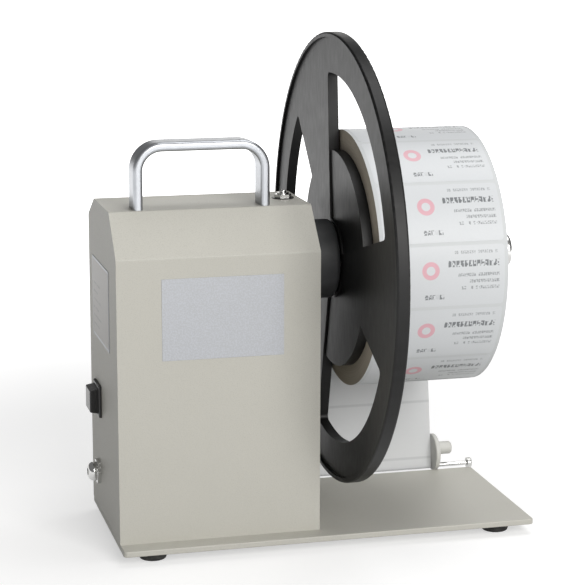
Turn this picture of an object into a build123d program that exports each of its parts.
from build123d import *
import os
from math import acos, atan2, cos, degrees, hypot, pi, radians, sin, sqrt

# Bench label rewinder: a motor cabinet and a label spindle on one base plate.
# All lengths are in millimetres.
# +X runs along the spindle towards its free end, +Y to the back, +Z up.
# The origin is on the surface that the feet stand on, under the spindle's axis and midway
# between the nose of the power socket on the left and the guide rod's cap on the right.

# ---------------------------------------------------------------- base
plate_past_roll = 27.6
plate_depth = 112.0
plate_thickness = 3.5
plate_corner = 2.5
plate_edge_round = 0.7
foot_height = 6.0
foot_top_d = 18.0
foot_ground_d = 15.5
foot_edge_round = 1.2
foot_inset_x = 19.5
foot_inset_y = 15.0
foot_rubber_under_head = 2.4

# ---------------------------------------------------------------- cabinet
sheet = 1.5
cabinet_width = 119.5
cabinet_depth = 98.5
cabinet_setback = 12.5
top_above_spindle = 37.0
front_bend_drop = 24.0
rear_bend_drop = 12.5
top_setback = 22.3
top_depth = 53.4
bend_round = 1.8
flange_width = 12.0
flange_relief = 3.0
panel_screw_inset = 20.0
rear_screw_low = 30.0
rear_screw_high = 150.0

# ---------------------------------------------------------------- fasteners and fits
m3_shank_d = 3.0
m3_head_d = 5.6
m3_head_h = 2.0
m4_shank_d = 4.0
m4_head_d = 6.6
m4_head_h = 2.6
screw_gap = 0.05
head_gap = 0.5
running_gap = 0.03
curved_gap = 0.3
axial_gap = 0.3
cut_extra = 2.0

# ---------------------------------------------------------------- carry handle
handle_spacing = 75.0
handle_from_left = 17.6
handle_thickness = 5.6
handle_breadth = 17.0
handle_rise = 38.9
handle_outer_bend = 17.0
handle_edge_round = 2.2
handle_screw_spacing = 9.0
handle_screw_depth = 10.0

# ---------------------------------------------------------------- spindle line
spindle_height = 154.5
spindle_from_front = 58.0
housing_collar_d = 47.5
housing_spigot_d = 34.0
housing_spigot_length = 21.5
housing_collar_length = 18.5
housing_round = 2.6
housing_screw_circle_d = 41.6
bearing_outer_d = 28.0
bearing_bore_d = 15.0
bearing_width = 7.0
bearing_shoulder_d = 24.0
shield_recess = 0.5
shield_rim = 2.0
shaft_tail = 22.0
spindle_shoulder_d = 19.0
spindle_flange_d = 44.0
spindle_flange_t = 3.0
spindle_d = 21.5
spindle_past_roll = 28.6
spindle_end_round = 2.4
ring_width = 1.3
ring_depth = 0.8
ring_rise = 3.2

# ---------------------------------------------------------------- flange wheel
wheel_d = 270.0
wheel_gap = 0.4
rim_width = 7.8
rim_proud = 1.4
lip_width = 3.0
lip_rise = 1.7
rim_round = 1.2
window_outer_d = 222.0
hub_disc_d = 130.0
hub_recess = 1.2
hub_thickness = 7.3
spoke_count = 3
spoke_angle = 40.0
first_spoke_angle = -4.6
window_corner = 3.0
wheel_screw_circle_d = 33.0

# ---------------------------------------------------------------- label roll
core_bore_d = 76.2
core_wall = 3.3
roll_d = 154.0
roll_width = 76.5
roll_side_gap = 0.2
adapter_gap = 0.2
adapter_disc_t = 12.0
adapter_rim_width = 5.0
adapter_groove_depth = 6.0
adapter_hub_proud = 2.0
adapter_sleeve_d = 34.0
adapter_set_screw_length = 12.0

# ---------------------------------------------------------------- drive
motor_drop = 62.0
motor_shaft_d = 8.0
gearbox_d = 50.0
gearbox_length = 25.0
motor_can_d = 37.0
motor_can_length = 34.0
motor_cap_d = 14.0
motor_cap_length = 3.0
motor_pilot_d = 16.0
bracket_t = 3.0
bracket_from_right_wall = 46.0
bracket_width = 64.0
bracket_above_motor = 28.0
bracket_foot = 22.0
motor_screw_circle_d = 36.0
driven_pulley_d = 48.0
motor_pulley_d = 18.0
pulley_width = 12.0
pulley_flange_t = 1.0
pulley_flange_rise = 2.6
pulley_from_right_wall = 36.0
belt_t = 1.6
belt_side_gap = 0.4

# ---------------------------------------------------------------- rocker switch
rocker_from_front = 70.0
rocker_height = 70.2
bezel_depth = 21.0
bezel_height = 19.4
bezel_t = 1.8
bezel_round = 0.8
switch_body_depth = 19.6
switch_body_height = 18.2
switch_body_length = 14.0
rocker_barrel_r = 8.1
rocker_pivot_inset = 1.0
rocker_width = 16.6
rocker_face_height = 13.2
rocker_proud = 6.8
rocker_pin_d = 2.4
rocker_pin_length = 1.2
terminal_length = 7.0
terminal_width = 5.0
terminal_t = 0.8

# ---------------------------------------------------------------- speed control
speed_from_right = 10.0
speed_from_front = 49.5
speed_case_d = 12.0
speed_case_height = 8.5
speed_bush_d = 7.0
speed_bush_rise = 3.4
speed_shaft_d = 4.0
speed_shaft_rise = 4.8
speed_shaft_inside = 5.0
speed_shaft_edge = 0.4
speed_slot_width = 0.8
speed_slot_depth = 1.0
speed_nut_across = 9.0
speed_nut_t = 1.8
speed_plate_d = 13.0
speed_plate_t = 0.6

# ---------------------------------------------------------------- power socket
socket_from_front = 71.5
socket_height = 24.0
socket_barrel_d = 11.6
socket_reach = 7.4
socket_nose_round = 3.4
socket_body_length = 13.0
socket_bore_d = 4.6
socket_bore_depth = 8.0
socket_pin_d = 1.8
socket_nut_across = 13.6
socket_nut_t = 2.2

# ---------------------------------------------------------------- labels on the cabinet
label_t = 0.3
front_label_width = 71.5
front_label_height = 47.5
front_label_from_left = 26.0
front_label_base = 108.0
rating_label_depth = 58.0
rating_label_height = 48.0
rating_label_from_front = 26.0
rating_label_base = 108.0

# ---------------------------------------------------------------- tension arm
arm_pivot_from_front = 82.5
arm_pivot_height = 45.0
arm_t = 3.0
arm_width = 11.0
arm_wall_gap = 1.0
arm_boss_d = 16.0
arm_shaft_d = 8.0
arm_shaft_inside = 24.0
arm_head_d = 12.0
arm_head_t = 2.0
bush_outer_d = 12.0
bush_flange_d = 16.0
bush_flange_t = 0.8
bush_inside_length = 7.0
cam_base_d = 12.0
cam_lobe_d = 9.0
cam_lobe_offset = 5.0
cam_lobe_angle = 60.0
cam_width = 5.0
rod_d = 3.0
rod_behind_plate = 8.0
rod_height = 0.3
rod_reach = 2.0
rod_cap_d = 6.8
rod_cap_t = 2.0
rod_cap_end = 0.8
guide_d = 24.0
guide_t = 3.0
guide_above_rod = 9.2
guide_round = 0.8
peg_above_rod = 11.5
peg_d = 8.4
outer_peg_length = 10.6
inner_peg_length = 8.2
peg_round = 1.8
inner_guide_gap = 1.2
outer_guide_gap = 2.6

# ---------------------------------------------------------------- arm spring and limit switch
spring_wire_d = 1.0
spring_turns = 5
spring_pitch = 1.3
limit_switch_length = 20.0
limit_switch_height = 10.0
limit_switch_width = 6.4
plunger_d = 2.0
plunger_length = 1.6

# ---------------------------------------------------------------- control board
board_length = 36.0
board_depth = 62.0
board_t = 1.6
board_from_left = 18.0
board_from_front = 10.0
standoff_height = 6.0
standoff_d = 6.0
standoff_inset = 4.0
relay_size = (15.0, 19.0, 15.5)
capacitor_d = 10.0
capacitor_height = 14.0
terminal_block_size = (8.0, 20.0, 10.0)

# ---------------------------------------------------------------- label web
web_t = 0.3
web_roll_wrap = 14.0
web_rod_wrap = 62.0

# ---------------------------------------------------------------- places worked out from the sizes
plate_top = foot_height + plate_thickness
cabinet_height = spindle_height + top_above_spindle
front_bend_height = cabinet_height - front_bend_drop
rear_bend_height = cabinet_height - rear_bend_drop
roll_start = cabinet_width + housing_collar_length + wheel_gap + hub_thickness + roll_side_gap
plate_length = roll_start + roll_width + plate_past_roll
overall_length = socket_reach + plate_length + rod_reach + rod_cap_end
left_x = socket_reach - overall_length / 2
plate_right_x = left_x + plate_length
plate_front_y = -spindle_from_front
plate_rear_y = plate_front_y + plate_depth
right_x = left_x + cabinet_width
front_y = plate_front_y + cabinet_setback
rear_y = front_y + cabinet_depth
top_z = plate_top + cabinet_height
axis_y = 0.0
axis_z = plate_top + spindle_height
housing_end_x = right_x + housing_collar_length
wheel_left_x = housing_end_x + wheel_gap
hub_right_x = wheel_left_x + hub_thickness
rim_left_x = wheel_left_x - rim_proud
rim_right_x = rim_left_x + rim_width
roll_left_x = hub_right_x + roll_side_gap
roll_right_x = roll_left_x + roll_width
spindle_end_x = roll_right_x + spindle_past_roll
motor_z = axis_z - motor_drop
bracket_x = right_x - bracket_from_right_wall
pulley_x = right_x - pulley_from_right_wall
arm_y = front_y + arm_pivot_from_front
arm_z = plate_top + arm_pivot_height
arm_x = right_x + arm_wall_gap
rod_y = plate_rear_y + rod_behind_plate
rod_z = plate_top + rod_height
rod_end_x = plate_right_x + rod_reach
guide_z = rod_z + guide_above_rod
peg_z = rod_z + peg_above_rod
outer_guide_x = roll_right_x + outer_guide_gap
inner_guide_x = roll_left_x - inner_guide_gap
rocker_y = front_y + rocker_from_front
rocker_z = plate_top + rocker_height
rocker_x = left_x + rocker_pivot_inset
speed_x = right_x - speed_from_right
speed_y = front_y + speed_from_front
socket_y = front_y + socket_from_front
socket_z = plate_top + socket_height


# ---------------------------------------------------------------- shapes used many times
def block(x0, x1, y0, y1, z0, z1):
    """Box between two corners."""
    middle = Pos((x0 + x1) / 2, (y0 + y1) / 2, (z0 + z1) / 2)
    return middle * Box(x1 - x0, y1 - y0, z1 - z0)


def centred_block(x0, x1, middle, depth, height):
    """Box from x0 to x1, of a depth along Y and a height along Z about its middle (y, z)."""
    y, z = middle
    return block(x0, x1, y - depth / 2, y + depth / 2, z - height / 2, z + height / 2)


def prism_x(outline, x0, x1, y=0, z=0):
    """Solid along X from an outline drawn as (y, z) about the point y, z."""
    end = Plane(origin=(x0, y, z), x_dir=(0, 1, 0), z_dir=(1, 0, 0))
    return extrude(end * outline, amount=x1 - x0, dir=(1, 0, 0))


def rod_x(x0, x1, diameter, y, z):
    """Round bar along X."""
    return prism_x(Circle(diameter / 2), x0, x1, y, z)


def rod_z_axis(z0, z1, diameter, x, y):
    """Round bar along Z."""
    return extrude(Plane(origin=(x, y, z0)) * Circle(diameter / 2), amount=z1 - z0)


def rod_y_axis(y0, y1, diameter, x, z):
    """Round bar along Y."""
    end = Plane(origin=(x, y0, z), x_dir=(1, 0, 0), z_dir=(0, 1, 0))
    return extrude(end * Circle(diameter / 2), amount=y1 - y0)


def turned(points, y, z):
    """Solid of revolution about a line along X, from points of (x, radius)."""
    plane = Plane(origin=(0, y, z), x_dir=(1, 0, 0), z_dir=(0, -1, 0))
    return revolve(plane * Polygon(*points, align=None), Axis((0, y, z), (1, 0, 0)), 360)


def hexagon_nut(x0, x1, across, bore_d, y, z):
    """Hexagon nut with its bore along X."""
    outline = RegularPolygon(across / 2, 6, major_radius=False)
    return prism_x(outline, x0, x1, y, z) - rod_x(x0 - cut_extra, x1 + cut_extra, bore_d, y, z)


def pan_screw(place, head_d, head_h, shank_d, length):
    """Pan head screw: its head stands on the place's plane and its shank points against the normal."""
    head = extrude(Circle(head_d / 2), amount=head_h)
    head = fillet(head.edges().sort_by(Axis.Z)[-1], head_h * 0.4)
    recess_width = head_d / 7
    for arms in ((head_d * 0.6, recess_width), (recess_width, head_d * 0.6)):
        head -= Pos(0, 0, head_h) * Box(arms[0], arms[1], head_h)
    return place * (head + extrude(Circle(shank_d / 2), amount=-length))


def joined(solids):
    """Separate solids kept together as one sub-part."""
    return Compound(children=[part for item in solids for part in item.solids()])


# ---------------------------------------------------------------- base and feet
def foot_places():
    """Middles of the four feet."""
    xs = (left_x + foot_inset_x, plate_right_x - foot_inset_x)
    ys = (plate_front_y + foot_inset_y, plate_rear_y - foot_inset_y)
    return [(x, y) for y in ys for x in xs]


def panel_screw_places():
    """Screws that hold the two side panels' lower flanges to the base plate."""
    half_flange = flange_width / 2
    xs = (left_x + sheet + half_flange, right_x - sheet - half_flange)
    ys = (front_y + panel_screw_inset + foot_inset_y, rear_y - panel_screw_inset)
    return [(x, y) for x in xs for y in ys]


def bracket_screw_places():
    """Screws that hold the motor bracket's foot to the base plate."""
    x = bracket_x - bracket_foot / 2
    reach = bracket_width / 2 - foot_inset_y / 2
    return [(x, axis_y - reach), (x, axis_y + reach)]


def base_plate():
    """Steel plate with blind holes for the feet and through holes for cabinet and bracket."""
    plate = block(left_x, plate_right_x, plate_front_y, plate_rear_y, foot_height, plate_top)
    plate = fillet(plate.edges().filter_by(Axis.Z), plate_corner)
    rims = plate.edges().group_by(Axis.Z)
    plate = fillet(rims[-1] + rims[0], plate_edge_round)
    for x, y in foot_places():
        plate -= rod_z_axis(foot_height - cut_extra, plate_top - sheet, m4_shank_d, x, y)
    for x, y in panel_screw_places() + bracket_screw_places():
        hole_d = m4_shank_d + 2 * screw_gap
        plate -= rod_z_axis(foot_height - cut_extra, plate_top + cut_extra, hole_d, x, y)
    return plate


def rubber_feet():
    """Four tapered rubber feet with a counterbore for the screw head."""
    body = Solid.make_cone(foot_ground_d / 2, foot_top_d / 2, foot_height)
    body = fillet(body.edges().sort_by(Axis.Z)[0], foot_edge_round)
    pocket_top = foot_height - foot_rubber_under_head
    body -= rod_z_axis(-cut_extra, pocket_top, m4_head_d + 2 * head_gap, 0, 0)
    body -= rod_z_axis(0, foot_height + cut_extra, m4_shank_d + 2 * screw_gap, 0, 0)
    return joined([Pos(x, y, 0) * body for x, y in foot_places()])


def upward_screws(places, head_z, length):
    """M4 pan head screws driven upwards, with their heads below head_z."""
    screws = []
    for x, y in places:
        seat = Plane(origin=(x, y, head_z), x_dir=(1, 0, 0), z_dir=(0, 0, -1))
        screws.append(pan_screw(seat, m4_head_d, m4_head_h, m4_shank_d, length))
    return joined(screws)


def foot_screws():
    """Four screws through the feet into the base plate."""
    head_z = foot_height - foot_rubber_under_head
    return upward_screws(foot_places(), head_z, foot_rubber_under_head + plate_thickness - sheet)


def panel_screws():
    """Four screws through the base plate into the side panels' flanges."""
    return upward_screws(panel_screw_places(), foot_height, plate_thickness + sheet)


def bracket_screws():
    """Two screws through the base plate into the motor bracket's foot."""
    return upward_screws(bracket_screw_places(), foot_height, plate_thickness + bracket_t)


# ---------------------------------------------------------------- cabinet
def cabinet_points(base_z):
    """Side outline of the cabinet as (y, z) corners, starting at base_z."""
    return [
        (front_y, base_z),
        (front_y, plate_top + front_bend_height),
        (front_y + top_setback, top_z),
        (front_y + top_setback + top_depth, top_z),
        (rear_y, plate_top + rear_bend_height),
        (rear_y, base_z),
    ]


def cabinet_inside():
    """Side outline of the space inside the folded cover, running down past the base plate's top."""
    deep = Polygon(*cabinet_points(plate_top - 2 * sheet), align=None)
    return offset(deep, amount=-sheet, kind=Kind.INTERSECTION)


def above_plate(width):
    """Everything above the base plate's top over the cabinet's width."""
    return block(left_x - width, right_x + width, front_y - width, rear_y + width, plate_top, top_z + width)


def rear_screw_places():
    """Screws (x, z) in the rear wall that hold the cover to the side panels."""
    half_flange = flange_width / 2
    xs = (left_x + sheet + half_flange, right_x - sheet - half_flange)
    zs = (plate_top + rear_screw_low, plate_top + rear_screw_high)
    return [(x, z) for x in xs for z in zs]


def handle_leg_xs():
    """Middles of the handle's two legs along X."""
    first = left_x + handle_from_left
    return [first, first + handle_spacing]


def handle_screw_places():
    """Screws (x, y) that hold the handle's legs to the cabinet's top."""
    middle_y = front_y + top_setback + handle_breadth / 2 + bend_round / 2
    offsets = (-handle_screw_spacing / 2, handle_screw_spacing / 2)
    return [(x, middle_y + step) for x in handle_leg_xs() for step in offsets]


def cabinet_cover():
    """One folded sheet: front, slope, top, rear slope and rear wall."""
    outline = Polygon(*cabinet_points(plate_top), align=None)
    bends = outline.vertices().filter_by(lambda corner: corner.Y > plate_top + 1)
    outline = fillet(bends, bend_round)
    cover = prism_x(outline, left_x, right_x)
    cover -= prism_x(cabinet_inside(), left_x - cut_extra, right_x + cut_extra)
    for x, y in handle_screw_places():
        cover -= rod_z_axis(top_z - 2 * sheet, top_z + cut_extra, m3_shank_d + 2 * screw_gap, x, y)
    for x, z in rear_screw_places():
        cover -= rod_y_axis(rear_y - 2 * sheet, rear_y + cut_extra, m4_shank_d + 2 * screw_gap, x, z)
    bush_hole_d = speed_bush_d + 2 * screw_gap
    return cover - rod_z_axis(top_z - 2 * sheet, top_z + cut_extra, bush_hole_d, speed_x, speed_y)


def side_panel(outer_x, inward):
    """Side panel inside the folded cover, with a lower flange and a rear flange.

    outer_x is its outer face and inward is +1 or -1 towards the cabinet's inside.
    """
    panel = prism_x(cabinet_inside(), *sorted((outer_x, outer_x + inward * sheet)))
    panel = panel & above_plate(cabinet_depth)
    near = outer_x + inward * sheet / 2
    far = outer_x + inward * (sheet + flange_width)
    x0, x1 = sorted((near, far))
    front = front_y + sheet + flange_relief
    rear = rear_y - sheet
    panel += block(x0, x1, front, rear - flange_relief, plate_top, plate_top + sheet)
    flange_foot = plate_top + sheet + flange_relief
    flange_head = plate_top + rear_bend_height - flange_relief - sheet
    panel += block(x0, x1, rear - sheet, rear, flange_foot, flange_head)
    for x, y in panel_screw_places():
        panel -= rod_z_axis(plate_top - cut_extra, plate_top + 2 * sheet, m4_shank_d + 2 * screw_gap, x, y)
    for x, z in rear_screw_places():
        panel -= rod_y_axis(rear - 2 * sheet, rear + cut_extra, m4_shank_d + 2 * screw_gap, x, z)
    return panel


def left_side_panel():
    """Panel with the rocker switch's window and the power socket's hole."""
    panel = side_panel(left_x, 1)
    window_depth = switch_body_depth + 2 * screw_gap
    window_height = switch_body_height + 2 * screw_gap
    x0 = left_x - cut_extra
    x1 = left_x + 2 * sheet
    panel -= centred_block(x0, x1, (rocker_y, rocker_z), window_depth, window_height)
    return panel - rod_x(x0, x1, socket_barrel_d + 2 * screw_gap, socket_y, socket_z)


def right_side_panel():
    """Panel that carries the spindle's bearing housing and the tension arm's bush."""
    panel = side_panel(right_x, -1)
    x0 = right_x - 2 * sheet
    x1 = right_x + cut_extra
    panel -= rod_x(x0, x1, housing_spigot_d + 2 * screw_gap, axis_y, axis_z)
    for y, z in housing_screw_places():
        panel -= rod_x(x0, x1, m4_shank_d + 2 * screw_gap, y, z)
    return panel - rod_x(x0, x1, bush_outer_d + 2 * screw_gap, arm_y, arm_z)


def rear_screws():
    """Four screws through the cover's rear wall."""
    screws = []
    for x, z in rear_screw_places():
        seat = Plane(origin=(x, rear_y, z), x_dir=(1, 0, 0), z_dir=(0, 1, 0))
        screws.append(pan_screw(seat, m4_head_d, m4_head_h, m4_shank_d, 4 * sheet))
    return joined(screws)


def carry_handle():
    """Flat aluminium bar bent into a low arch, with threaded holes in its two legs."""
    left, right = handle_leg_xs()
    half = handle_thickness / 2
    breadth_front = handle_screw_places()[0][1] + handle_screw_spacing / 2 - handle_breadth / 2
    rise = top_z + handle_rise
    face = Plane(origin=(0, breadth_front + handle_breadth, 0), x_dir=(1, 0, 0), z_dir=(0, -1, 0))

    def arch(inset, radius):
        """Filled arch outline, drawn in by inset on its two sides and its top."""
        low = top_z - (cut_extra if inset else 0)
        outline = Polygon(
            (left - half + inset, low),
            (right + half - inset, low),
            (right + half - inset, rise - inset),
            (left - half + inset, rise - inset),
            align=None,
        )
        return fillet(outline.vertices().filter_by(lambda corner: corner.Y > top_z + 1), radius)

    inner_bend = handle_outer_bend - handle_thickness
    bar = extrude(face * arch(0, handle_outer_bend), amount=handle_breadth)
    bar -= extrude(face * arch(handle_thickness, inner_bend), amount=handle_breadth)
    long_edges = bar.faces().filter_by(Axis.Y).edges().filter_by(lambda edge: edge.center().Z > top_z + 1)
    bar = fillet(long_edges, handle_edge_round)
    for x, y in handle_screw_places():
        bar -= rod_z_axis(top_z - cut_extra, top_z + handle_screw_depth, m3_shank_d + 2 * screw_gap, x, y)
    return bar


def handle_screws():
    """Four screws from inside the cabinet up into the handle's legs."""
    screws = []
    for x, y in handle_screw_places():
        seat = Plane(origin=(x, y, top_z - sheet), x_dir=(1, 0, 0), z_dir=(0, 0, -1))
        length = sheet + handle_screw_depth - axial_gap
        screws.append(pan_screw(seat, m3_head_d, m3_head_h, m3_shank_d, length))
    return joined(screws)


def front_label():
    """Bare name plate stuck on the cabinet's front."""
    x0 = left_x + front_label_from_left
    z0 = plate_top + front_label_base
    return block(x0, x0 + front_label_width, front_y - label_t, front_y, z0, z0 + front_label_height)


def rating_label():
    """Bare rating label stuck on the cabinet's left side."""
    y0 = front_y + rating_label_from_front
    z0 = plate_top + rating_label_base
    return block(left_x - label_t, left_x, y0, y0 + rating_label_depth, z0, z0 + rating_label_height)


# ---------------------------------------------------------------- rocker switch
def switch_housing():
    """Rocker switch body with its bezel, pivot holes and three terminals."""
    middle = (rocker_y, rocker_z)
    bezel = centred_block(left_x - bezel_t, left_x, middle, bezel_depth, bezel_height)
    bezel = fillet(bezel.edges().group_by(Axis.X)[0], bezel_round)
    x1 = left_x + switch_body_length
    body = bezel + centred_block(left_x - bezel_t / 2, x1, middle, switch_body_depth, switch_body_height)
    half_cavity = rocker_width / 2 + axial_gap
    cavity_d = 2 * (rocker_barrel_r + curved_gap)
    body -= rod_y_axis(rocker_y - half_cavity, rocker_y + half_cavity, cavity_d, rocker_x, rocker_z)
    pin_reach = rocker_width / 2 + rocker_pin_length + axial_gap
    pin_hole_d = rocker_pin_d + 2 * running_gap
    body -= rod_y_axis(rocker_y - pin_reach, rocker_y + pin_reach, pin_hole_d, rocker_x, rocker_z)
    for step in (-1, 0, 1):
        place = (rocker_y, rocker_z + step * terminal_width)
        body += centred_block(x1 - sheet, x1 + terminal_length, place, terminal_width, terminal_t)
    return body


def switch_rocker():
    """Rocker: a barrel about its pivot with a raised, flat key on its outside."""
    half_width = rocker_width / 2
    barrel = rod_y_axis(rocker_y - half_width, rocker_y + half_width, 2 * rocker_barrel_r, rocker_x, rocker_z)
    key_root = left_x - bezel_t - axial_gap
    key_face = left_x - rocker_proud
    root_half = sqrt(rocker_barrel_r**2 - (key_root - rocker_x) ** 2)
    side = Plane(origin=(0, rocker_y + half_width, rocker_z), x_dir=(1, 0, 0), z_dir=(0, -1, 0))
    key = Polygon(
        (rocker_x, -root_half),
        (rocker_x, root_half),
        (key_root, root_half),
        (key_face, rocker_face_height / 2),
        (key_face, -rocker_face_height / 2),
        (key_root, -root_half),
        align=None,
    )
    slab_x = rocker_x + rocker_barrel_r / 2
    slab = centred_block(key_root, slab_x, (rocker_y, rocker_z), rocker_width, 2 * rocker_barrel_r)
    rocker = (barrel & slab) + extrude(side * key, amount=rocker_width)
    rocker = fillet(rocker.edges().group_by(Axis.X)[0], bezel_round)
    pin_reach = half_width + rocker_pin_length
    return rocker + rod_y_axis(rocker_y - pin_reach, rocker_y + pin_reach, rocker_pin_d, rocker_x, rocker_z)


# ---------------------------------------------------------------- speed control
def speed_case():
    """Case of the speed control under the cabinet's top, with its bush through the hole."""
    inside_top = top_z - sheet
    bush_top = top_z + speed_bush_rise
    case = rod_z_axis(inside_top - speed_case_height, inside_top, speed_case_d, speed_x, speed_y)
    case += rod_z_axis(inside_top - sheet, bush_top, speed_bush_d, speed_x, speed_y)
    bore_d = speed_shaft_d + 2 * running_gap
    bore_foot = inside_top - speed_shaft_inside - running_gap
    return case - rod_z_axis(bore_foot, bush_top + cut_extra, bore_d, speed_x, speed_y)


def speed_nut():
    """Hexagon nut on the speed control's bush."""
    z0 = top_z + speed_plate_t
    outline = RegularPolygon(speed_nut_across / 2, 6, major_radius=False)
    nut = extrude(Plane(origin=(speed_x, speed_y, z0)) * outline, amount=speed_nut_t)
    bore_d = speed_bush_d + 2 * screw_gap
    return nut - rod_z_axis(z0 - cut_extra, z0 + speed_nut_t + cut_extra, bore_d, speed_x, speed_y)


def speed_plate():
    """Round legend plate between the nut and the cabinet's top, left bare."""
    plate = rod_z_axis(top_z, top_z + speed_plate_t, speed_plate_d, speed_x, speed_y)
    bore_d = speed_bush_d + 2 * screw_gap
    return plate - rod_z_axis(top_z - cut_extra, top_z + cut_extra, bore_d, speed_x, speed_y)


def speed_shaft():
    """Short shaft of the speed control with a screwdriver slot in its end."""
    foot = top_z - sheet - speed_shaft_inside
    head = top_z + speed_shaft_rise
    shaft = rod_z_axis(foot, head, speed_shaft_d, speed_x, speed_y)
    shaft = chamfer(shaft.edges().group_by(Axis.Z)[-1], speed_shaft_edge)
    half = speed_slot_width / 2
    x0 = speed_x - speed_shaft_d
    x1 = speed_x + speed_shaft_d
    return shaft - block(x0, x1, speed_y - half, speed_y + half, head - speed_slot_depth, head + cut_extra)


# ---------------------------------------------------------------- power socket
def power_socket():
    """Round power socket through the left side panel, with a rounded nose and a centre pin."""
    nose_x = left_x - socket_reach
    body = rod_x(nose_x, left_x + socket_body_length, socket_barrel_d, socket_y, socket_z)
    body = fillet(body.edges().sort_by(Axis.X)[0], socket_nose_round)
    bore_foot = nose_x + socket_bore_depth
    body -= rod_x(nose_x - cut_extra, bore_foot, socket_bore_d, socket_y, socket_z)
    return body + rod_x(nose_x + sheet, bore_foot + sheet, socket_pin_d, socket_y, socket_z)


def socket_nut():
    """Nut that clamps the power socket to the panel's outside."""
    bore_d = socket_barrel_d + 2 * screw_gap
    return hexagon_nut(left_x - socket_nut_t, left_x, socket_nut_across, bore_d, socket_y, socket_z)


# ---------------------------------------------------------------- spindle line
def around_axis(circle_d, count, first_angle):
    """Points (y, z) on a circle about the spindle, angles from the front and upwards."""
    angles = [radians(first_angle + 360 * step / count) for step in range(count)]
    radius = circle_d / 2
    return [(axis_y - radius * cos(angle), axis_z + radius * sin(angle)) for angle in angles]


def housing_screw_places():
    """Screws that hold the bearing housing to the right side panel."""
    return around_axis(housing_screw_circle_d, 3, 90)


def bearing_housing():
    """Collar outside the right panel and spigot inside it, bored for two ball bearings."""
    spigot_x = right_x - housing_spigot_length
    seat_r = bearing_outer_d / 2
    shoulder_r = bearing_shoulder_d / 2
    inner_seat_x = spigot_x + axial_gap + bearing_width
    outer_seat_x = housing_end_x - axial_gap - bearing_width
    housing = turned(
        [
            (spigot_x, seat_r),
            (spigot_x, housing_spigot_d / 2),
            (right_x, housing_spigot_d / 2),
            (right_x, housing_collar_d / 2),
            (housing_end_x, housing_collar_d / 2),
            (housing_end_x, seat_r),
            (outer_seat_x, seat_r),
            (outer_seat_x, shoulder_r),
            (inner_seat_x, shoulder_r),
            (inner_seat_x, seat_r),
        ],
        axis_y,
        axis_z,
    )
    rim = housing.edges().filter_by(GeomType.CIRCLE)
    rim = rim.filter_by(lambda edge: edge.radius > housing_collar_d / 2 - 1 and edge.center().X > right_x + 1)
    housing = fillet(rim, housing_round)
    hole_end = right_x + housing_collar_length / 2
    for y, z in housing_screw_places():
        housing -= rod_x(right_x - cut_extra, hole_end, m4_shank_d + 2 * screw_gap, y, z)
    return housing


def housing_screws():
    """Three screws from inside the cabinet into the bearing housing."""
    screws = []
    for y, z in housing_screw_places():
        seat = Plane(origin=(right_x - sheet, y, z), x_dir=(0, 1, 0), z_dir=(-1, 0, 0))
        screws.append(pan_screw(seat, m4_head_d, m4_head_h, m4_shank_d, sheet + housing_collar_length / 3))
    return joined(screws)


def ball_bearing(x0):
    """Shielded ball bearing with recessed side faces."""
    x1 = x0 + bearing_width
    outer_r = bearing_outer_d / 2
    bore_r = bearing_bore_d / 2
    rim_r = outer_r - shield_rim
    hub_r = bore_r + shield_rim
    return turned(
        [
            (x0, bore_r),
            (x0, hub_r),
            (x0 + shield_recess, hub_r),
            (x0 + shield_recess, rim_r),
            (x0, rim_r),
            (x0, outer_r),
            (x1, outer_r),
            (x1, rim_r),
            (x1 - shield_recess, rim_r),
            (x1 - shield_recess, hub_r),
            (x1, hub_r),
            (x1, bore_r),
        ],
        axis_y,
        axis_z,
    )


def bearing_starts():
    """Left faces of the two bearings."""
    inner_x = right_x - housing_spigot_length + axial_gap
    outer_x = housing_end_x - axial_gap - bearing_width
    return [inner_x, outer_x]


def spindle_bearings():
    """The two ball bearings in the housing."""
    return joined([ball_bearing(x) for x in bearing_starts()])


def spindle():
    """Stepped steel shaft: journal, ring groove, shoulder, wheel flange and the long label spindle."""
    journal_r = bearing_bore_d / 2 - running_gap
    tail_x = bearing_starts()[0] - shaft_tail
    ring_x = bearing_starts()[0] - axial_gap - ring_width
    shoulder_x = housing_end_x
    flange_x = wheel_left_x
    shaft = turned(
        [
            (tail_x, 0),
            (tail_x, journal_r),
            (ring_x, journal_r),
            (ring_x, journal_r - ring_depth),
            (ring_x + ring_width, journal_r - ring_depth),
            (ring_x + ring_width, journal_r),
            (shoulder_x, journal_r),
            (shoulder_x, spindle_shoulder_d / 2),
            (flange_x, spindle_shoulder_d / 2),
            (flange_x, spindle_flange_d / 2),
            (flange_x + spindle_flange_t, spindle_flange_d / 2),
            (flange_x + spindle_flange_t, spindle_d / 2),
            (spindle_end_x, spindle_d / 2),
            (spindle_end_x, 0),
        ],
        axis_y,
        axis_z,
    )
    shaft = fillet(shaft.edges().sort_by(Axis.X)[-1], spindle_end_round)
    for y, z in around_axis(wheel_screw_circle_d, spoke_count, first_spoke_angle):
        shaft -= rod_x(
            flange_x - cut_extra, flange_x + spindle_flange_t + cut_extra, m4_shank_d + 2 * screw_gap, y, z
        )
    return shaft


def retaining_ring():
    """Spring ring in the shaft's groove, open at the bottom."""
    ring_x = bearing_starts()[0] - axial_gap - ring_width
    inner_d = bearing_bore_d - 2 * running_gap - 2 * ring_depth + 2 * screw_gap
    outer_d = inner_d + 2 * ring_rise
    ring = rod_x(ring_x, ring_x + ring_width, outer_d, axis_y, axis_z)
    x0 = ring_x - cut_extra
    x1 = ring_x + cut_extra
    ring -= rod_x(x0, x1, inner_d, axis_y, axis_z)
    slot_middle = (axis_y, axis_z - outer_d / 2)
    return ring - centred_block(x0, x1, slot_middle, 2 * ring_rise, inner_d / 2)


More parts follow.
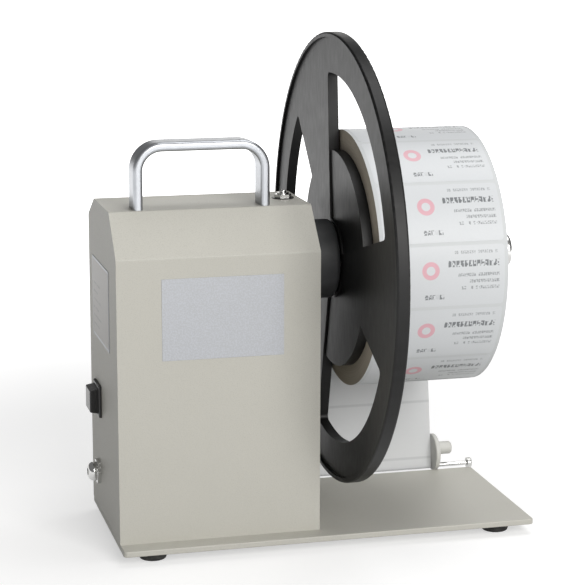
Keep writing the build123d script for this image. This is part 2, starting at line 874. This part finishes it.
# ---------------------------------------------------------------- flange wheel
def wheel_window(middle_angle):
    """Space between two spokes, from the boss at the middle out to the rim, as a prism along X."""
    half = (360 / spoke_count - spoke_angle) / 2
    outer_r = window_outer_d / 2
    inner_r = housing_collar_d / 2

    def point(radius, angle):
        """Point at an angle from the front and upwards, as (y, z) about the spindle."""
        turn = radians(angle)
        return (-radius * cos(turn), radius * sin(turn))

    start = middle_angle - half
    stop = middle_angle + half
    edges = [
        Line(point(inner_r, start), point(outer_r, start)),
        ThreePointArc(point(outer_r, start), point(outer_r, middle_angle), point(outer_r, stop)),
        Line(point(outer_r, stop), point(inner_r, stop)),
        ThreePointArc(point(inner_r, stop), point(inner_r, middle_angle), point(inner_r, start)),
    ]
    outline = make_face(edges)
    far_corners = outline.vertices().filter_by(lambda corner: hypot(corner.X, corner.Y) > inner_r + 1)
    outline = fillet(far_corners, window_corner)
    return prism_x(outline, rim_left_x - cut_extra, hub_right_x + cut_extra, axis_y, axis_z)


def flange_wheel():
    """Moulded wheel: rim with a raised lip, three flared spokes and a thick hub disc.

    The spokes run on over the hub disc's left face to the boss at the middle.
    """
    wheel_r = wheel_d / 2
    web_x = rim_left_x + lip_rise
    bore_r = spindle_d / 2 + screw_gap
    wheel = turned(
        [
            (rim_left_x, wheel_r - lip_width),
            (rim_left_x, wheel_r),
            (rim_right_x, wheel_r),
            (rim_right_x, bore_r),
            (wheel_left_x, bore_r),
            (wheel_left_x, hub_disc_d / 2),
            (web_x, wheel_r - lip_width),
        ],
        axis_y,
        axis_z,
    )
    rim = wheel.edges().filter_by(GeomType.CIRCLE).filter_by(lambda edge: edge.radius > wheel_r - 0.5)
    wheel = fillet(rim, rim_round)
    for step in range(spoke_count):
        wheel -= wheel_window(first_spoke_angle + (step + 0.5) * 360 / spoke_count)
    wheel += rod_x(wheel_left_x + hub_recess, hub_right_x, hub_disc_d, axis_y, axis_z)
    wheel -= rod_x(wheel_left_x, hub_right_x + cut_extra, 2 * bore_r, axis_y, axis_z)
    pocket_d = spindle_flange_d + 2 * screw_gap
    wheel -= rod_x(wheel_left_x - cut_extra, wheel_left_x + spindle_flange_t, pocket_d, axis_y, axis_z)
    for y, z in around_axis(wheel_screw_circle_d, spoke_count, first_spoke_angle):
        wheel -= rod_x(wheel_left_x, hub_right_x + cut_extra, m4_shank_d + 2 * screw_gap, y, z)
        wheel -= rod_x(hub_right_x - m4_head_h, hub_right_x + cut_extra, m4_head_d + 2 * head_gap, y, z)
    return wheel


def wheel_screws():
    """Three screws through the hub into the spindle's flange, with sunk heads."""
    screws = []
    for y, z in around_axis(wheel_screw_circle_d, spoke_count, first_spoke_angle):
        seat = Plane(origin=(hub_right_x - m4_head_h, y, z), x_dir=(0, 1, 0), z_dir=(1, 0, 0))
        length = hub_thickness - m4_head_h - axial_gap
        screws.append(pan_screw(seat, m4_head_d, m4_head_h, m4_shank_d, length))
    return joined(screws)


# ---------------------------------------------------------------- label roll
def core_tube():
    """Cardboard core of the label roll."""
    core = rod_x(roll_left_x, roll_right_x, core_bore_d + 2 * core_wall, axis_y, axis_z)
    return core - rod_x(roll_left_x - cut_extra, roll_right_x + cut_extra, core_bore_d, axis_y, axis_z)


def label_roll():
    """Wound labels on the core."""
    roll = rod_x(roll_left_x, roll_right_x, roll_d, axis_y, axis_z)
    bore_d = core_bore_d + 2 * core_wall
    return roll - rod_x(roll_left_x - cut_extra, roll_right_x + cut_extra, bore_d, axis_y, axis_z)


def inner_core_adapter():
    """Nylon plug that centres the core's inner half on the spindle."""
    disc_d = core_bore_d - 2 * adapter_gap
    x0 = roll_left_x
    x1 = (roll_left_x + roll_right_x) / 2
    plug = rod_x(x0, x1, disc_d, axis_y, axis_z)
    return plug - rod_x(x0 - cut_extra, x1 + cut_extra, spindle_d + 2 * screw_gap, axis_y, axis_z)


def adapter_screw_x():
    """Place of the outer adapter's set screw along the spindle."""
    return roll_right_x - adapter_disc_t


def outer_core_adapter():
    """Nylon plug in the core's outer half, with a grooved face, a proud hub and a set screw hole."""
    x0 = (roll_left_x + roll_right_x) / 2
    x1 = roll_right_x
    rim_r = core_bore_d / 2 - adapter_gap
    hub_r = adapter_sleeve_d / 2
    bore_r = spindle_d / 2 + screw_gap
    plug = turned(
        [
            (x0, bore_r),
            (x0, rim_r),
            (x1, rim_r),
            (x1, rim_r - adapter_rim_width),
            (x1 - adapter_groove_depth, rim_r - adapter_rim_width),
            (x1 - adapter_groove_depth, hub_r),
            (x1 + adapter_hub_proud, hub_r),
            (x1 + adapter_hub_proud, bore_r),
        ],
        axis_y,
        axis_z,
    )
    hole_d = m4_shank_d + 2 * screw_gap
    return plug - rod_z_axis(axis_z, axis_z + core_bore_d, hole_d, adapter_screw_x(), axis_y)


def adapter_set_screw():
    """Set screw that clamps the outer adapter on the spindle."""
    foot = axis_z + spindle_d / 2 + screw_gap
    head = foot + adapter_set_screw_length
    screw = rod_z_axis(foot, head, m4_shank_d, adapter_screw_x(), axis_y)
    socket = Plane(origin=(adapter_screw_x(), axis_y, head)) * RegularPolygon(m4_shank_d / 4, 6)
    return screw - extrude(socket, amount=-m4_shank_d / 2)


# ---------------------------------------------------------------- drive
def pulley(diameter, bore_d, y, z, hub_d):
    """Flanged belt pulley with a hub on its left side."""
    x0 = pulley_x
    x1 = x0 + pulley_width
    r = diameter / 2
    flange_r = r + pulley_flange_rise
    hub_x = x0 - pulley_width / 3
    return turned(
        [
            (hub_x, bore_d / 2),
            (hub_x, hub_d / 2),
            (x0, hub_d / 2),
            (x0, flange_r),
            (x0 + pulley_flange_t, flange_r),
            (x0 + pulley_flange_t, r),
            (x1 - pulley_flange_t, r),
            (x1 - pulley_flange_t, flange_r),
            (x1, flange_r),
            (x1, bore_d / 2),
        ],
        y,
        z,
    )


def driven_pulley():
    """Large pulley on the spindle's tail."""
    return pulley(driven_pulley_d, bearing_bore_d + 2 * screw_gap, axis_y, axis_z, driven_pulley_d / 2)


def motor_pulley():
    """Small pulley on the gear motor's output shaft."""
    return pulley(motor_pulley_d, motor_shaft_d + 2 * screw_gap, axis_y, motor_z, motor_pulley_d - 2)


def motor_shaft():
    """Output shaft of the gear motor."""
    return rod_x(bracket_x + axial_gap, pulley_x + pulley_width + axial_gap, motor_shaft_d, axis_y, motor_z)


def drive_belt():
    """Flat belt round the two pulleys, with a small clearance to each."""
    r1 = driven_pulley_d / 2 + curved_gap
    r2 = motor_pulley_d / 2 + curved_gap
    x0 = pulley_x + pulley_flange_t + belt_side_gap
    width = pulley_width - 2 * pulley_flange_t - 2 * belt_side_gap

    def loop(extra):
        """Filled belt outline round both pulleys, grown by extra."""
        lean = acos((r1 - r2) / motor_drop)
        big = r1 + extra
        small = r2 + extra
        side = (sin(lean), -cos(lean))
        low = (0, -motor_drop)
        edges = [
            Line((side[0] * big, side[1] * big), (side[0] * small, low[1] + side[1] * small)),
            ThreePointArc(
                (side[0] * small, low[1] + side[1] * small),
                (0, low[1] - small),
                (-side[0] * small, low[1] + side[1] * small),
            ),
            Line((-side[0] * small, low[1] + side[1] * small), (-side[0] * big, side[1] * big)),
            ThreePointArc((-side[0] * big, side[1] * big), (0, big), (side[0] * big, side[1] * big)),
        ]
        return make_face(edges)

    return prism_x(loop(belt_t) - loop(0), x0, x0 + width, axis_y, axis_z)


def motor_screw_places():
    """Screws (y, z) that hold the gearbox to its bracket."""
    r = motor_screw_circle_d / 2
    return [(axis_y + r * cos(radians(a)), motor_z + r * sin(radians(a))) for a in (45, 135, 225, 315)]


def motor_bracket():
    """Bent bracket: an upright plate for the gearbox and a foot on the base plate."""
    x1 = bracket_x + bracket_t
    half = bracket_width / 2
    head = motor_z + bracket_above_motor
    plate = block(bracket_x, x1, axis_y - half, axis_y + half, plate_top, head)
    plate = fillet(plate.edges().filter_by(Axis.X).group_by(Axis.Z)[-1], bracket_t * 3)
    plate += block(x1 - bracket_foot, x1, axis_y - half, axis_y + half, plate_top, plate_top + bracket_t)
    x0 = bracket_x - cut_extra
    plate -= rod_x(x0, x1 + cut_extra, motor_pilot_d + 2 * screw_gap, axis_y, motor_z)
    for y, z in motor_screw_places():
        plate -= rod_x(x0, x1 + cut_extra, m3_shank_d + 2 * screw_gap, y, z)
    for x, y in bracket_screw_places():
        hole_d = m4_shank_d + 2 * screw_gap
        plate -= rod_z_axis(plate_top - cut_extra, plate_top + 2 * bracket_t, hole_d, x, y)
    return plate


def gear_motor():
    """Gear motor: gearbox, can and end cap, with a pilot in the bracket and a bore for its shaft."""
    box_x = bracket_x - gearbox_length
    can_x = box_x - motor_can_length
    body = rod_x(box_x, bracket_x, gearbox_d, axis_y, motor_z)
    body = chamfer(body.edges().group_by(Axis.X)[0], sheet)
    body += rod_x(can_x, box_x + sheet, motor_can_d, axis_y, motor_z)
    body += rod_x(can_x - motor_cap_length, can_x + sheet, motor_cap_d, axis_y, motor_z)
    body += rod_x(bracket_x - sheet, bracket_x + bracket_t, motor_pilot_d, axis_y, motor_z)
    for y, z in motor_screw_places():
        body -= rod_x(bracket_x - gearbox_length / 2, bracket_x + cut_extra, m3_shank_d + 2 * screw_gap, y, z)
    bore_d = motor_shaft_d + 2 * running_gap
    return body - rod_x(bracket_x, bracket_x + bracket_t + cut_extra, bore_d, axis_y, motor_z)


def motor_screws():
    """Four screws through the bracket into the gearbox."""
    screws = []
    for y, z in motor_screw_places():
        seat = Plane(origin=(bracket_x + bracket_t, y, z), x_dir=(0, 1, 0), z_dir=(1, 0, 0))
        screws.append(pan_screw(seat, m3_head_d, m3_head_h, m3_shank_d, bracket_t + gearbox_length / 3))
    return joined(screws)


# ---------------------------------------------------------------- tension arm and guides
def arm_bush():
    """Plain bush in the right side panel for the tension arm's shaft."""
    x0 = right_x - sheet - bush_inside_length
    bush = rod_x(x0, right_x, bush_outer_d, arm_y, arm_z)
    bush += rod_x(right_x, right_x + bush_flange_t, bush_flange_d, arm_y, arm_z)
    bore_d = arm_shaft_d + 2 * running_gap
    return bush - rod_x(x0 - cut_extra, right_x + cut_extra, bore_d, arm_y, arm_z)


def arm_shaft():
    """Pivot shaft of the tension arm, with a head outside."""
    head_x = arm_x + arm_t
    shaft = rod_x(right_x - sheet - arm_shaft_inside, head_x, arm_shaft_d, arm_y, arm_z)
    return shaft + rod_x(head_x, head_x + arm_head_t, arm_head_d, arm_y, arm_z)


def tension_arm():
    """Flat arm from its pivot to the guide rod."""
    tip = (rod_y - arm_y, rod_z - arm_z)
    length = hypot(*tip)
    lean = degrees(atan2(tip[1], tip[0]))
    bar = Pos(tip[0] / 2, tip[1] / 2) * Rot(0, 0, lean) * Rectangle(length, arm_width)
    outline = bar + Circle(arm_boss_d / 2) + Pos(*tip) * Circle(arm_width / 2)
    arm = prism_x(outline, arm_x, arm_x + arm_t, arm_y, arm_z)
    arm -= rod_x(arm_x - cut_extra, arm_x + arm_t + cut_extra, arm_shaft_d + 2 * screw_gap, arm_y, arm_z)
    return arm - rod_x(arm_x - cut_extra, arm_x + arm_t + cut_extra, rod_d + 2 * screw_gap, rod_y, rod_z)


def guide_rod():
    """Steel rod that the label web runs round."""
    return rod_x(arm_x, rod_end_x, rod_d, rod_y, rod_z)


def rod_cap():
    """Push-on cap on the guide rod's free end."""
    cap = rod_x(rod_end_x - rod_cap_t, rod_end_x + rod_cap_end, rod_cap_d, rod_y, rod_z)
    cap = fillet(cap.edges().group_by(Axis.X)[-1], rod_cap_end)
    return cap - rod_x(rod_end_x - rod_cap_t - cut_extra, rod_end_x, rod_d + 2 * screw_gap, rod_y, rod_z)


def edge_guide(x0):
    """Nylon disc that slides along the guide rod beside the web."""
    disc = rod_x(x0, x0 + guide_t, guide_d, rod_y, guide_z)
    disc = fillet(disc.edges().filter_by(GeomType.CIRCLE), guide_round)
    disc -= rod_x(x0 - cut_extra, x0 + guide_t + cut_extra, rod_d + 2 * running_gap, rod_y, rod_z)
    return disc


def guide_peg(x0, outward, length):
    """Nylon grip peg on an edge guide's outer face; outward is +1 or -1 along X."""
    x1 = x0 + outward * length
    low, high = sorted((x0, x1))
    peg = rod_x(low, high, peg_d, rod_y, peg_z)
    end = peg.edges().group_by(Axis.X)[-1 if outward > 0 else 0]
    return fillet(end, peg_round)


def arm_cam():
    """Cam on the arm's shaft that works the limit switch."""
    x1 = right_x - sheet - arm_shaft_inside + cam_width + axial_gap
    x0 = x1 - cam_width
    lobe_y = arm_y + cam_lobe_offset * cos(radians(cam_lobe_angle))
    lobe_z = arm_z + cam_lobe_offset * sin(radians(cam_lobe_angle))
    cam = rod_x(x0, x1, cam_base_d, arm_y, arm_z) + rod_x(x0, x1, cam_lobe_d, lobe_y, lobe_z)
    return cam - rod_x(x0 - cut_extra, x1 + cut_extra, arm_shaft_d + 2 * screw_gap, arm_y, arm_z)


def arm_spring():
    """Torsion spring round the arm's shaft, between the bush and the cam."""
    radius = arm_shaft_d / 2 + curved_gap + spring_wire_d
    height = spring_turns * spring_pitch
    x0 = right_x - sheet - bush_inside_length - axial_gap - spring_wire_d - height
    helix = Helix(pitch=spring_pitch, height=height, radius=radius)
    start = Plane(origin=helix @ 0, z_dir=helix % 0)
    coil = sweep(start * Circle(spring_wire_d / 2), path=helix)
    stand = Plane(origin=(x0, arm_y, arm_z), x_dir=(0, 1, 0), z_dir=(1, 0, 0))
    return stand * coil


def limit_switch():
    """Small snap switch on a stand, in front of the cam."""
    x1 = right_x - sheet - arm_shaft_inside + cam_width + axial_gap + (limit_switch_width - cam_width) / 2
    x0 = x1 - limit_switch_width
    z0 = arm_z + cam_lobe_offset + cam_lobe_d / 2 + curved_gap + plunger_length
    y0 = arm_y - limit_switch_length / 2
    y1 = y0 + limit_switch_length
    head = z0 + limit_switch_height
    body = block(x0, x1, y0, y1, z0, head)
    body += rod_z_axis(z0 - plunger_length, z0 + plunger_length, plunger_d, (x0 + x1) / 2, arm_y)
    return body + block(x0, right_x - sheet, y0, y1, head, head + sheet)


# ---------------------------------------------------------------- control board
def board_corner_places():
    """Standoff places under the control board."""
    x0 = left_x + board_from_left + standoff_inset
    x1 = left_x + board_from_left + board_length - standoff_inset
    y0 = front_y + board_from_front + standoff_inset
    y1 = front_y + board_from_front + board_depth - standoff_inset
    return [(x, y) for x in (x0, x1) for y in (y0, y1)]


def board_standoffs():
    """Four round standoffs between the base plate and the control board."""
    head = plate_top + standoff_height
    return joined([rod_z_axis(plate_top, head, standoff_d, x, y) for x, y in board_corner_places()])


def control_board():
    """Circuit board with a relay, a capacitor and a terminal block."""
    x0 = left_x + board_from_left
    y0 = front_y + board_from_front
    z0 = plate_top + standoff_height
    top = z0 + board_t
    board = block(x0, x0 + board_length, y0, y0 + board_depth, z0, top)
    relay_x, relay_y, relay_z = relay_size
    near = 2 * standoff_inset + standoff_d / 2
    board += block(x0 + near, x0 + near + relay_x, y0 + near, y0 + near + relay_y, top, top + relay_z)
    capacitor_x = x0 + board_length / 2
    capacitor_y = y0 + board_depth - near
    board += rod_z_axis(top, top + capacitor_height, capacitor_d, capacitor_x, capacitor_y)
    block_x, block_y, block_z = terminal_block_size
    middle = y0 + board_depth / 2
    board += block(x0, x0 + block_x, middle - block_y / 2, middle + block_y / 2, top, top + block_z)
    return board


# ---------------------------------------------------------------- label web
def label_web():
    """Strip of labels from the back of the roll down to the guide rod and round its underside."""
    inner_r = roll_d / 2 + curved_gap
    mid_r = inner_r + web_t / 2
    rod_r = rod_d / 2 + curved_gap + web_t / 2
    across = rod_y - axis_y
    down = axis_z - rod_z
    span = hypot(across, down)
    # The straight run touches the roll behind it and the rod in front of it.
    line_angle = atan2(-down, across) + acos((mid_r + rod_r) / span)
    normal = (cos(line_angle), sin(line_angle))
    roll_touch = (axis_y + mid_r * normal[0], axis_z + mid_r * normal[1])
    rod_touch = (rod_y - rod_r * normal[0], rod_z - rod_r * normal[1])

    def about(centre, radius, angle):
        """Point (y, z) on a circle at an angle from +Y towards +Z."""
        return (centre[0] + radius * cos(angle), centre[1] + radius * sin(angle))

    roll_centre = (axis_y, axis_z)
    rod_centre = (rod_y, rod_z)
    roll_end = line_angle + radians(web_roll_wrap)
    rod_end = line_angle + pi + radians(web_rod_wrap)
    path = Wire(
        [
            ThreePointArc(
                about(roll_centre, mid_r, roll_end),
                about(roll_centre, mid_r, (roll_end + line_angle) / 2),
                roll_touch,
            ).edge(),
            Line(roll_touch, rod_touch).edge(),
            ThreePointArc(
                rod_touch,
                about(rod_centre, rod_r, line_angle + pi + radians(web_rod_wrap / 2)),
                about(rod_centre, rod_r, rod_end),
            ).edge(),
        ]
    )
    strip = trace(path, line_width=web_t)
    return prism_x(strip, roll_left_x, roll_right_x)


# ---------------------------------------------------------------- all sub-parts
PARTS = {
    "base_plate": base_plate,
    "rubber_feet": rubber_feet,
    "foot_screws": foot_screws,
    "panel_screws": panel_screws,
    "bracket_screws": bracket_screws,
    "cabinet_cover": cabinet_cover,
    "left_side_panel": left_side_panel,
    "right_side_panel": right_side_panel,
    "rear_screws": rear_screws,
    "carry_handle": carry_handle,
    "handle_screws": handle_screws,
    "front_label": front_label,
    "rating_label": rating_label,
    "switch_housing": switch_housing,
    "switch_rocker": switch_rocker,
    "speed_case": speed_case,
    "speed_nut": speed_nut,
    "speed_plate": speed_plate,
    "speed_shaft": speed_shaft,
    "power_socket": power_socket,
    "socket_nut": socket_nut,
    "bearing_housing": bearing_housing,
    "housing_screws": housing_screws,
    "spindle_bearings": spindle_bearings,
    "spindle": spindle,
    "retaining_ring": retaining_ring,
    "flange_wheel": flange_wheel,
    "wheel_screws": wheel_screws,
    "core_tube": core_tube,
    "label_roll": label_roll,
    "inner_core_adapter": inner_core_adapter,
    "outer_core_adapter": outer_core_adapter,
    "adapter_set_screw": adapter_set_screw,
    "driven_pulley": driven_pulley,
    "motor_pulley": motor_pulley,
    "motor_shaft": motor_shaft,
    "drive_belt": drive_belt,
    "motor_bracket": motor_bracket,
    "gear_motor": gear_motor,
    "motor_screws": motor_screws,
    "arm_bush": arm_bush,
    "arm_shaft": arm_shaft,
    "tension_arm": tension_arm,
    "guide_rod": guide_rod,
    "rod_cap": rod_cap,
    "outer_edge_guide": lambda: edge_guide(outer_guide_x),
    "outer_guide_peg": lambda: guide_peg(outer_guide_x + guide_t, 1, outer_peg_length),
    "inner_edge_guide": lambda: edge_guide(inner_guide_x - guide_t),
    "inner_guide_peg": lambda: guide_peg(inner_guide_x - guide_t, -1, inner_peg_length),
    "arm_cam": arm_cam,
    "arm_spring": arm_spring,
    "limit_switch": limit_switch,
    "board_standoffs": board_standoffs,
    "control_board": control_board,
    "label_web": label_web,
}

os.makedirs("parts", exist_ok=True)
for name, make in PARTS.items():
    export_step(make(), f"parts/{name}.step")
    print(name)
